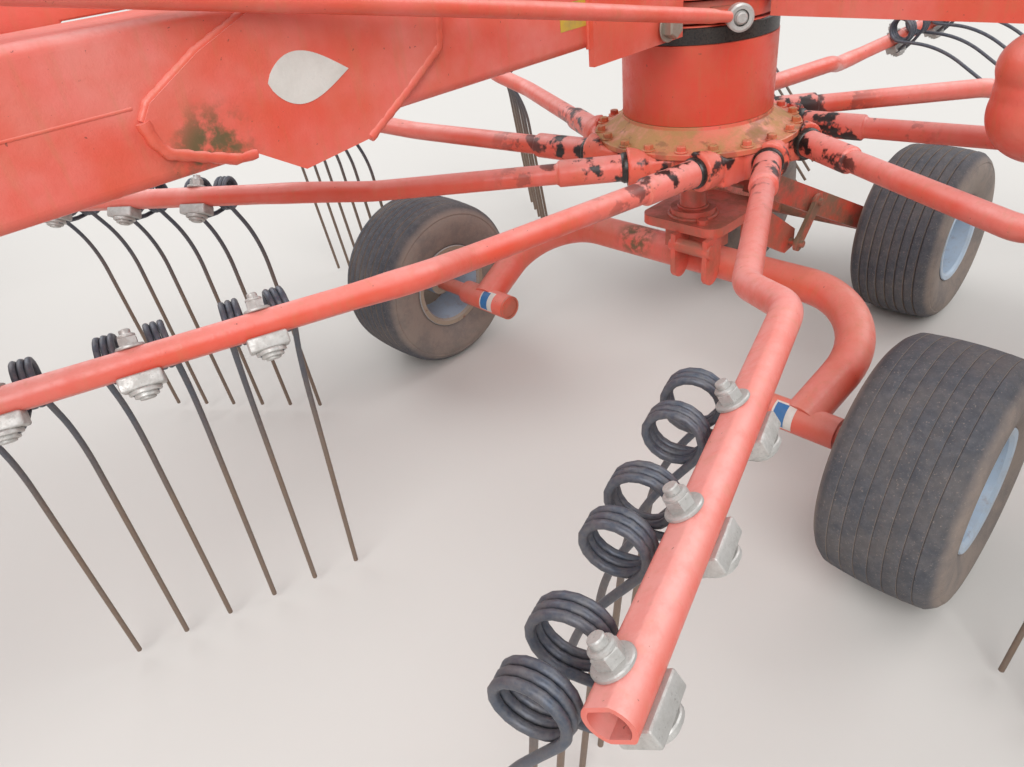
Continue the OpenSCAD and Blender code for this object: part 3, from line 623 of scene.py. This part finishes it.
class RAKE_OT_tines(bpy.types.Operator):
    """Double spring tines: one wire bent to two legs, two coils and the loop that the clamp holds"""
    bl_idname = "rake.tines"
    bl_label = "Double tines"

    def half(self, side):
        """The wire from the clamp's loop, round the coil and down the leg to its tip."""
        coil, turns = sizes().coil, sizes().turns
        centre_y, centre_z, start_x, pitch = -0.060, -0.015, 0.0188, 2 * WIRE_R + 0.0002
        points = [(side * 0.002, 0.030, -0.031), (side * 0.013, 0.026, -0.033), (side * 0.017, 0.008, -0.038),
                  (side * 0.018, -0.024, -0.0445), (side * 0.0185, -0.045, -0.0458)]
        steps = round(turns * 18)
        for k in range(steps + 1):
            angle = math.radians(-90 - 360 * turns * k / steps)
            x = start_x + pitch * turns * k / steps
            points.append((side * x, centre_y + coil * math.cos(angle), centre_z + coil * math.sin(angle)))
        x = side * (start_x + pitch * turns)
        leg = bent([points[-1], (x, -0.110, -0.140), (side * 0.0435, -0.165, -0.650)], 0.30, 12)
        return points + leg[1:]

    def execute(self, context):
        left, right = self.half(-1), self.half(1)
        wire = tube([*reversed(left), *right], WIRE_R, 10)
        for rotor in ROTORS:
            tines = joined([copied(wire, arm @ place) for arm in arm_frames(rotor) for place in stations()])
            finished(tines, f"{rotor}_spring_tines", finish_for("wire"), f"{rotor}_rotor",
                     [f"{rotor}_tines"], 60)
        dropped(wire)
        return {"FINISHED"}


class RAKE_OT_clamps(bpy.types.Operator):
    """Cast clamp blocks under the arm tubes and the nuts and washers above them"""
    bl_idname = "rake.clamps"
    bl_label = "Tine clamps"

    def execute(self, context):
        body = block((-0.0285, -0.0185, -0.0375), (0.0285, 0.0195, 0.0012 - FLAT), 0.0035)
        foot = turned([(0.0205, -0.0435), (0.0215, -0.0425), (0.0215, -0.0385), (0.0205, -0.037)], 28)
        step = turned([(0.015, -0.049), (0.0162, -0.048), (0.0162, -0.0435), (0.015, -0.042)], 28)
        head = turned([(0.0085, -0.0525), (0.0105, -0.0518), (0.0112, -0.049), (0.011, -0.048)], 20)
        washer = turned([(0.018, 0.018), (0.019, 0.019), (0.019, 0.0212), (0.018, 0.0225),
                         (0.0145, 0.0232)], 32)
        nut = turned([(0.0132, 0.023), (0.0132, 0.0332), (0.012, 0.0346)], 6)
        collar = turned([(0.0112, 0.034), (0.0118, 0.035), (0.0116, 0.0372), (0.010, 0.0385)], 24)
        shank = turned([(0.0075, 0.038), (0.0075, 0.044), (0.0066, 0.0453)], 16)
        clamp = moved(joined([body, foot, step, head, washer, nut, collar, shank]), turn(TILT, "X"))
        for rotor in ROTORS:
            clamps = joined([copied(clamp, arm @ place) for arm in arm_frames(rotor) for place in stations()])
            finished(clamps, f"{rotor}_tine_clamps", finish_for("zinc"), f"{rotor}_rotor", smooth=28)
        dropped(clamp)
        return {"FINISHED"}


class RAKE_OT_arms(bpy.types.Operator):
    """Cranked arm tubes with their sleeves, welds and black seals at the bearing"""
    bl_idname = "rake.arms"
    bl_label = "Tine arms"

    def execute(self, context):
        path = bent([(SLEEVE_END - 0.03, 0, 0), CRANK_LOW, CRANK_HIGH, ARM_TIP], 0.09, 8)
        along = (ARM_TIP - CRANK_HIGH).normalized()
        path[-1:] = [CRANK_HIGH + along * 0.05, CRANK_HIGH + along * 0.11, ARM_TIP]
        pipe = tube(path, ARM_R, 48, caps=False)
        press = turn(math.degrees(math.atan2(along.y, along.x)), "Z") @ turn(TILT, "X")
        for vertex in pipe.data.vertices:
            # From 0.87 m out the tube is pressed flat above and below, for the washers and blocks
            share = min(1, max(0, (vertex.co.x - 0.87) / 0.06))
            place = press.inverted() @ (vertex.co - CRANK_HIGH)
            place.z = place.z + share * (min(FLAT, max(-FLAT, place.z)) - place.z)
            vertex.co = press @ place + CRANK_HIGH
        apply(pipe, "SOLIDIFY", thickness=0.0046, offset=-1)
        outward = turn(90, "Y")
        sleeve = [(0.0245, COLLAR_END), (0.027, COLLAR_END + 0.003), (0.027, SLEEVE_END - 0.004),
                  (0.0262, SLEEVE_END - 0.001), (0.0232, SLEEVE_END + 0.001), (0.0218, SLEEVE_END + 0.004)]
        arm_piece = joined([pipe, moved(turned(sleeve, 36), outward)])
        seal = [(0.0275, COLLAR_END - 0.003), (0.0305, COLLAR_END), (0.031, COLLAR_END + 0.006),
                (0.0285, COLLAR_END + 0.011), (0.027, COLLAR_END + 0.012)]
        seal = moved(turned(seal, 36), outward)
        for rotor in ROTORS:
            body, name = f"{rotor}_rotor", f"{rotor}_arms"
            arms = joined([copied(arm_piece, arm) for arm in arm_frames(rotor)])
            finished(arms, f"{rotor}_arm_tubes", finish_for(name), body, [name], 35)
            seals = joined([copied(seal, arm) for arm in arm_frames(rotor)])
            finished(seals, f"{rotor}_seals", finish_for("seal"), body)
        dropped(arm_piece, seal)
        return {"FINISHED"}


class RAKE_OT_columns(bpy.types.Operator):
    """Rotating columns with their black head bands, skirts, arm flanges and paired bolts"""
    bl_idname = "rake.columns"
    bl_label = "Columns"

    def execute(self, context):
        column = turned([(0.0455, 0.7042), (0.1575, 0.7042), (0.158, 0.705), (0.158, 0.855),
                         (0.1545, 0.856), (0.1545, 0.885), (0.152, 0.888), (0.0455, 0.888)],
                        96, ring=True)
        skirt = turned([(0.0455, 0.541), (0.078, 0.541), (0.078, 0.585), (0.118, 0.590), (0.118, 0.656),
                        (0.2185, 0.656), (0.220, 0.6575), (0.220, 0.6665), (0.218, 0.6685),
                        (0.206, 0.670), (0.196, 0.673), (0.168, 0.690), (0.160, 0.697),
                        (0.159, 0.7035), (0.0455, 0.7035)], 96, ring=True)
        band = turned([(0.155, 0.8562), (0.157, 0.857), (0.157, 0.8845), (0.154, 0.8865)], 96)
        head = bolt(0.017, 0.010, 0.0135)
        for rotor in ROTORS:
            place, body, name = placed(rotor), f"{rotor}_rotor", f"{rotor}_hub"
            finished(copied(column, place), f"{rotor}_column", finish_for(name), body, [name])
            finished(copied(skirt, place), f"{rotor}_skirt", finish_for(f"{rotor}_skirt"), body)
            # The top of the column is drawn as a black band, in the seals' black finish
            finished(copied(band, place), f"{rotor}_column_band", finish_for("seal"), body)
            # A pair of bolts for each arm, their flats turned from pair to pair
            heads = [copied(head, place @ turn(PHASE[rotor] + 36 * i + 80 + apart, "Z")
                            @ at(0.2065, 0, 0.669) @ turn(17 * i, "Z"))
                     for i in range(ARMS) for apart in (-8.5, 8.5)]
            finished(joined(heads), f"{rotor}_flange_bolts", finish_for(f"{rotor}_skirt"), body, smooth=28)
        dropped(column, skirt, band, head)
        return {"FINISHED"}


class RAKE_OT_castings(bpy.types.Operator):
    """Bearing castings under the flange, their edges and corners rounded as a foundry leaves them"""
    bl_idname = "rake.castings"
    bl_label = "Bearing castings"

    def execute(self, context):
        for rotor in ROTORS:
            casting = NODES[f"{rotor}_carriers"].copy()
            casting.data = casting.data.copy()
            casting.parent = None
            bpy.context.scene.collection.objects.link(casting)
            pick(casting)
            bpy.ops.object.mode_set(mode="EDIT")
            bpy.ops.mesh.select_all(action="SELECT")
            bpy.ops.mesh.remove_doubles(threshold=1e-5)
            bpy.ops.object.mode_set(mode="OBJECT")
            apply(casting, "REMESH", mode="VOXEL", voxel_size=0.0042)
            apply(casting, "SMOOTH", factor=0.5, iterations=4)
            finished(casting, f"{rotor}_castings", finish_for(f"{rotor}_carriers"), f"{rotor}_rotor",
                     [f"{rotor}_carriers"], 50)
        return {"FINISHED"}


class RAKE_OT_wheels(bpy.types.Operator):
    """Tyres with worn circumferential grooves, and pressed rims with their nuts"""
    bl_idname = "rake.wheels"
    bl_label = "Wheels"

    def tyre(self, deep, wide):
        """Section from the inner bead over the tread and back, about Z; wide is half a groove."""
        half = [(0.1016, 0.090), (0.109, 0.0925), (0.115, 0.0915), (0.118, 0.0945), (0.130, 0.099),
                (0.150, 0.1048), (0.166, 0.1073), (0.180, 0.1075), (0.195, 0.1058), (0.1985, 0.1032),
                (0.202, 0.104), (0.212, 0.0975), (0.2185, 0.0895), (0.2225, 0.084)]
        groove = [(0, 1), (0.15, 0.6), (1, 0.3), (1, -0.3), (0.15, -0.6), (0, -1)]
        tread = []
        for k in range(-3, 4):
            z = -0.0235 * k
            # Seven grooves, 23.5 mm apart; the crown falls off to both sides
            crown = TYRE_R - 0.744 * z * z - 0.0003
            tread += [(crown - deep * down, z + wide * out) for down, out in groove]
        section = half + tread + [(r, -z) for r, z in reversed(half)]
        return turned(section + [(0.099, -0.06), (0.099, 0.06)], 96, ring=True)

    def rim(self):
        """Barrel, dished disc with a rolled edge, hub cap and wheel nuts; its outer face looks along +Z."""
        edge = [(0.096, 0.090), (0.102, 0.096), (0.113, 0.0975), (0.115, 0.095), (0.113, 0.0915),
                (0.101, 0.089)]
        disc = [(0.093, -0.060), (0.093, 0.010), (0.090, 0.020), (0.078, 0.017), (0.064, 0.012),
                (0.054, 0.006), (0.042, 0.002), (0.0195, 0.002), (0.0195, 0.008), (0.040, 0.008),
                (0.052, 0.012), (0.062, 0.0185), (0.078, 0.024), (0.0905, 0.027), (0.0935, 0.030),
                (0.093, 0.060)]
        barrel = turned([(r, -z) for r, z in reversed(edge)] + disc + edge, 72, ring=True)
        hub = turned([(0.030, -0.052), (0.036, -0.050), (0.037, 0.002), (0.037, 0.042),
                      (0.035, 0.047), (0.025, 0.050)], 40)
        nuts = [moved(bolt(0.019, 0.012, 0.0, 0.006, 0.008), turn(72 * k, "Z") @ at(0.056, 0, 0.0125))
                for k in range(5)]
        valve = moved(tube([(0, 0, 0), (0, 0.004, 0.024)], 0.003, 8), at(0, 0.078, 0.022))
        return joined([barrel, hub, *nuts, valve])

    def execute(self, context):
        deep, rim = sizes().groove, self.rim()
        ribbed, worn = self.tyre(deep, 0.004), self.tyre(deep * 0.3, 0.0016)
        for rotor in ROTORS:
            for wheel, (x, y) in WHEELS.items():
                side = 1 if y > 0 else -1
                tyre = worn if (rotor, wheel) == ("rear", "front_left") else ribbed
                place = placed(rotor, x, y, TYRE_R) @ turn(-90 * side, "X")
                body = f"{rotor}_wheel_{wheel}"
                finished(copied(tyre, place), f"{rotor}_tread_{wheel}", finish_for(f"rubber_{side}"), body,
                         [f"{rotor}_tyre_{wheel}"])
                finished(copied(rim, place @ turn(20 * len(wheel), "Z")), f"{rotor}_disc_{wheel}",
                         finish_for(f"rim_{side}"), body, [f"{rotor}_rim_{wheel}"])
        dropped(ribbed, worn, rim)
        return {"FINISHED"}


# Outline of the boom's gussets in X and Z from the rear rotor's axis
GUSSET = ((1.000, 1.064), (1.080, 1.032), (1.148, 0.994), (1.160, 0.977), (1.155, 0.955), (1.144, 0.939),
          (1.070, 0.912), (1.044, 0.911), (0.985, 0.874), (0.880, 0.885), (0.810, 0.927), (0.741, 0.972),
          (0.730, 1.060))


class RAKE_OT_boom(bpy.types.Operator):
    """Weld beads, seam, pin heads and bare label plates of the rear boom"""
    bl_idname = "rake.boom"
    bl_label = "Boom details"

    def execute(self, context):
        radius, home = sizes().bead, AXIS["rear"]
        # Points in X and Z, distance from the middle, radius and ripple; the upper run clears the tie rod
        runs = ((GUSSET[-1:] + GUSSET[:4], 0.061, radius * 1.1, 0.07),
                (GUSSET[3:8], 0.0625, radius * 1.6, 0.07), (GUSSET[9:], 0.0625, radius * 1.6, 0.07),
                (((1.165, 0.992), (2.52, 0.992)), 0.0583, 0.0026, 0.03),
                (((0.42, 0.905), (0.42, 1.07)), 0.0605, 0.004, 0.16))
        beads = [bead([home + Vector((x, side * out, z)) for x, z in points], thick, ripple)
                 for side in (-1, 1) for points, out, thick, ripple in runs]
        finished(joined(beads), "boom_welds", finish_for("beam"), "boom", smooth=50)
        heads = [moved(bolt(0.036, 0.018, 0.027), placed("rear", 0.220, side * 0.0775, BEAM_LOW)
                       @ turn(-90 * side, "X")) for side in (-1, 1)]
        finished(joined(heads), "boom_pin_heads", finish_for("bolt"), "boom", smooth=28)
        leaf = [(0.114 * k / 24, 0.030 * math.sin(math.pi * (k / 24) ** 0.72)) for k in range(25)]
        leaf += [(x, -z) for x, z in reversed(leaf[1:-1])]
        leaf = moved(plate(leaf, 0.0006), on_left(1.008, 0.0681, 0.983) @ turn(-3.5, "Z"))
        finished(leaf, "boom_leaf_plate", finish_for("white"), "boom", smooth=0)
        label = moved(block((0, 0, 0), (0.080, 0.040, 0.0005)), on_left(0.486, 0.0601, 0.942))
        finished(label, "boom_label", finish_for("yellow"), "boom", smooth=0)
        return {"FINISHED"}


class RAKE_OT_hanger(bpy.types.Operator):
    """Bulged housing under the lateral beam, its two lobes run smoothly into each other"""
    bl_idname = "rake.hanger"
    bl_label = "Lateral hanger"

    def execute(self, context):
        # Each lobe's place from the rear rotor's axis, and its radius and half height
        lobes = []
        for y, z, radius, half in ((0.652, 0.836, 0.084, 0.059), (0.654, 0.802, 0.083, 0.050),
                                   (0.656, 0.768, 0.087, 0.078)):
            clear()
            bpy.ops.mesh.primitive_uv_sphere_add(segments=48, ring_count=24, radius=1)
            shape = placed("rear", 0.026, y, z) @ Matrix.Diagonal((radius, radius, half, 1))
            lobes.append(moved(context.object, shape))
        hanger = apply(joined(lobes), "REMESH", mode="VOXEL", voxel_size=0.004)
        apply(hanger, "SMOOTH", factor=0.5, iterations=12)
        finished(hanger, "lateral_hanger", finish_for("beam"), "boom", smooth=50)
        return {"FINISHED"}


class RAKE_OT_tie_rod(bpy.types.Operator):
    """Tie rod and its ball joints with their pale rings"""
    bl_idname = "rake.tie_rod"
    bl_label = "Tie rod"

    def execute(self, context):
        rear, front = AXIS["rear"] + ROD_REAR, AXIS["rear"] + ROD_FRONT
        along = (front - rear).normalized()
        necks = [along * reach for reach in (0.030, 0.055, 0.075)]
        rod = tube([rear + neck for neck in necks] + [front - neck for neck in reversed(necks)],
                   0.012, 24, swell=[0.75, 0.8, 1, 1, 0.8, 0.75])
        finished(rod, "tie_rod_tube", finish_for("beam"), "tie_rod", ["tie_rod"])
        ends = []
        for place, faces in ((rear, ROD_FACES), (front, (0, 1, 0))):
            ring = turned([(0.014, -0.0095), (0.020, -0.010), (0.023, -0.008), (0.0235, 0.008),
                           (0.020, 0.010), (0.014, 0.0095)], 32, ring=True)
            ball = turned([(0.0055, -0.013), (0.0105, -0.009), (0.0135, -0.004), (0.014, 0.000),
                           (0.0135, 0.004), (0.0105, 0.009), (0.0055, 0.013)], 24)
            pin = turned([(0.0075, -0.015), (0.010, -0.013), (0.010, 0.013), (0.0075, 0.015)], 16)
            ends.append(moved(joined([ring, ball, pin]), towards(place, faces)))
        finished(joined(ends), "tie_rod_joints", finish_for("zinc"), "tie_rod")
        return {"FINISHED"}


class RAKE_OT_curtain(bpy.types.Operator):
    """Swath curtain: coated cloth hung from its tube"""
    bl_idname = "rake.curtain"
    bl_label = "Swath curtain"

    def execute(self, context):
        low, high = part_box("curtain")
        wide, tall = high.x - low.x, high.z - low.z
        clear()
        bpy.ops.mesh.primitive_grid_add(x_subdivisions=90, y_subdivisions=50, size=1)
        cloth = bpy.context.object
        for vertex in cloth.data.vertices:
            u, v = vertex.co.x + 0.5, vertex.co.y + 0.5
            wave = (1 - v) * 0.0036 * (math.sin(u * 17) + 0.6 * math.sin(u * 31 + 1.3))
            fold = (low.y + high.y) / 2 + wave + 0.0005 * math.sin(u * 50)
            vertex.co = (low.x + u * wide, fold, low.z + 0.002 + v * (tall - 0.002))
        cloth.data.update()
        apply(cloth, "SOLIDIFY", thickness=0.0012, offset=0)
        finished(cloth, "curtain_cloth", finish_for("cloth"), "curtain", ["curtain"], 60)
        return {"FINISHED"}


class RAKE_OT_bogies(bpy.types.Operator):
    """Caps and bare label bands on the spindle housings, and the weld beads of the bogies"""
    bl_idname = "rake.bogies"
    bl_label = "Bogie details"

    def band(self, radius, low, high, start, stop):
        """A thin band bent about Y, from low to high along it and between two angles from +X up."""
        clear()
        bpy.ops.mesh.primitive_grid_add(x_subdivisions=20, y_subdivisions=2, size=1)
        piece = bpy.context.object
        for vertex in piece.data.vertices:
            angle = math.radians(start + (stop - start) * (vertex.co.x + 0.5))
            along = low + (high - low) * (vertex.co.y + 0.5)
            vertex.co = (radius * math.cos(angle), along, radius * math.sin(angle))
        return apply(piece, "SOLIDIFY", thickness=0.0004, offset=0)

    def execute(self, context):
        radius = sizes().bead
        for rotor in ROTORS:
            home, body, spindle = AXIS[rotor], CARRIED_BY[rotor], placed(rotor, SPINDLE_X, 0, TYRE_R)
            caps, white, blue = [], [], []
            for side in (-1, 1):
                inner = home + Vector((SPINDLE_X, side * 0.360, TYRE_R))
                cap = turned([(0.0255, 0.000), (0.0255, 0.0022), (0.020, 0.0032), (0.006, 0.0034)], 36)
                ring = turned([(0.0262, -0.001), (0.0262, 0.005), (0.0275, 0.0058), (0.0308, 0.005),
                               (0.0311, -0.001)], 36, ring=True)
                caps.append(moved(joined([cap, ring]), towards(inner, (0, -side, 0))))
                low, high = sorted((side * 0.396, side * 0.440))
                white.append(moved(self.band(0.0313, low, high, -25, 80), spindle))
                blue.append(moved(self.band(0.0316, low + 0.004, high - 0.016, -18, 72), spindle))
            beads = [bead([home + v for v in circle(0.054, 0.4635)], radius, 0.1),
                     bead([home + v for v in circle(0.0325, 0.4815)], radius * 0.8, 0.1)]
            finished(joined(caps), f"{rotor}_spindle_caps", finish_for("bogie"), body)
            finished(joined(white), f"{rotor}_spindle_labels", finish_for("white"), body)
            finished(joined(blue), f"{rotor}_spindle_label_fields", finish_for("blue"), body)
            finished(joined(beads), f"{rotor}_bogie_welds", finish_for("bogie"), body, smooth=50)
        return {"FINISHED"}


class RAKE_OT_finishes(bpy.types.Operator):
    """Finishes and rounded edges for the CAD pieces that stay"""
    bl_idname = "rake.finishes"
    bl_label = "Frame finishes"

    def execute(self, context):
        table = {
            "frame": ["cross_beam", "drawbar", "centre_gearbox", "steering_bracket", "headstock",
                      "stand_sleeve"],
            "boom": ["boom"],
            "beam": ["shaft_cover", "curtain_beam", "front_head", "rear_head"],
            "bogie": ["front_bogie", "rear_bogie"],
            "axle": ["front_axle", "rear_axle"],
            "tail": ["front_tail", "rear_tail"],
            "steel": ["stand_leg", "curtain_arm"],
            "guard": ["drive_line", "boom_shaft"],
        }
        for finish, nodes in table.items():
            for name in nodes:
                node = NODES[name]
                node.data.materials.clear()
                node.data.materials.append(finish_for(finish))
                weld = node.modifiers.new("merge", "WELD")
                weld.merge_threshold = 1e-5
                soft = node.modifiers.new("edges", "BEVEL")
                soft.width = 0.002
                soft.segments = 2
                soft.limit_method = "ANGLE"
                soft.angle_limit = math.radians(35)
        return {"FINISHED"}


class RAKE_OT_stage(bpy.types.Operator):
    """Plain pale floor, soft light and the camera at the photograph's angle"""
    bl_idname = "rake.stage"
    bl_label = "Stage"

    def execute(self, context):
        scene = context.scene
        clear()
        bpy.ops.mesh.primitive_plane_add(size=60)
        floor = context.object
        floor.name = "floor"
        finish = bpy.data.materials.new("pale floor")
        finish.use_nodes = True
        shader = finish.node_tree.nodes["Principled BSDF"]
        shader.inputs["Base Color"].default_value = linear("#CDCAC5")
        shader.inputs["Roughness"].default_value = 0.9
        floor.data.materials.append(finish)
        world = bpy.data.worlds.new("studio")
        world.use_nodes = True
        sky = world.node_tree.nodes["Background"]
        sky.inputs["Color"].default_value = linear("#F2F4F8")
        sky.inputs["Strength"].default_value = 0.56
        scene.world = world
        for name, (place, strength) in LAMPS.items():
            bpy.ops.object.light_add(type="SUN", location=AXIS["rear"] + Vector(place))
            lamp = context.object
            lamp.name = name
            lamp.data.energy = strength
            lamp.data.angle = math.radians(LAMP_WIDTH_DEG)
            lamp.rotation_euler = (AXIS["rear"] - lamp.location).to_track_quat("-Z", "Y").to_euler()
        right = CAMERA_RIGHT.normalized()
        up = (CAMERA_UP - right * CAMERA_UP.dot(right)).normalized()
        bpy.ops.object.camera_add()
        camera = context.object
        camera.name = "photo camera"
        pointing = Matrix((right, up, right.cross(up))).transposed().to_4x4()
        camera.matrix_world = placed("rear", *CAMERA_AT) @ pointing
        camera.data.lens = LENS_MM
        camera.data.sensor_width = 36
        camera.data.clip_start = 0.01
        scene.camera = camera
        scene.view_settings.view_transform = "Standard"
        return {"FINISHED"}


class RAKE_PT_sidebar(bpy.types.Panel):
    """Lists the rake's pieces in the order they are made"""
    bl_idname = "RAKE_PT_sidebar"
    bl_label = "Twin rotor hay rake"
    bl_space_type = "VIEW_3D"
    bl_region_type = "UI"
    bl_category = "Rake"

    def draw(self, context):
        for operator in OPERATORS:
            self.layout.operator(operator.bl_idname)
        for group in (context.scene.rake_sizes, context.scene.rake_colours):
            for name in group.bl_rna.properties.keys():
                if name not in ("rna_type", "name"):
                    self.layout.prop(group, name)


GROUPS = (RakeSizes, RakeColours)
OPERATORS = (RAKE_OT_stage, RAKE_OT_tines, RAKE_OT_clamps, RAKE_OT_arms, RAKE_OT_columns, RAKE_OT_castings,
             RAKE_OT_wheels, RAKE_OT_bogies, RAKE_OT_boom, RAKE_OT_hanger, RAKE_OT_tie_rod, RAKE_OT_curtain,
             RAKE_OT_finishes)


def register():
    for kind in (*GROUPS, *OPERATORS, RAKE_PT_sidebar):
        bpy.utils.register_class(kind)
    bpy.types.Scene.rake_sizes = PointerProperty(type=RakeSizes)
    bpy.types.Scene.rake_colours = PointerProperty(type=RakeColours)


def unregister():
    del bpy.types.Scene.rake_colours
    del bpy.types.Scene.rake_sizes
    for kind in reversed((*GROUPS, *OPERATORS, RAKE_PT_sidebar)):
        bpy.utils.unregister_class(kind)


def main():
    register()
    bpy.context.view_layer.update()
    for operator in OPERATORS:
        family, name = operator.bl_idname.split(".")
        getattr(getattr(bpy.ops, family), name)()
    clear()


if __name__ == "__main__":
    main()
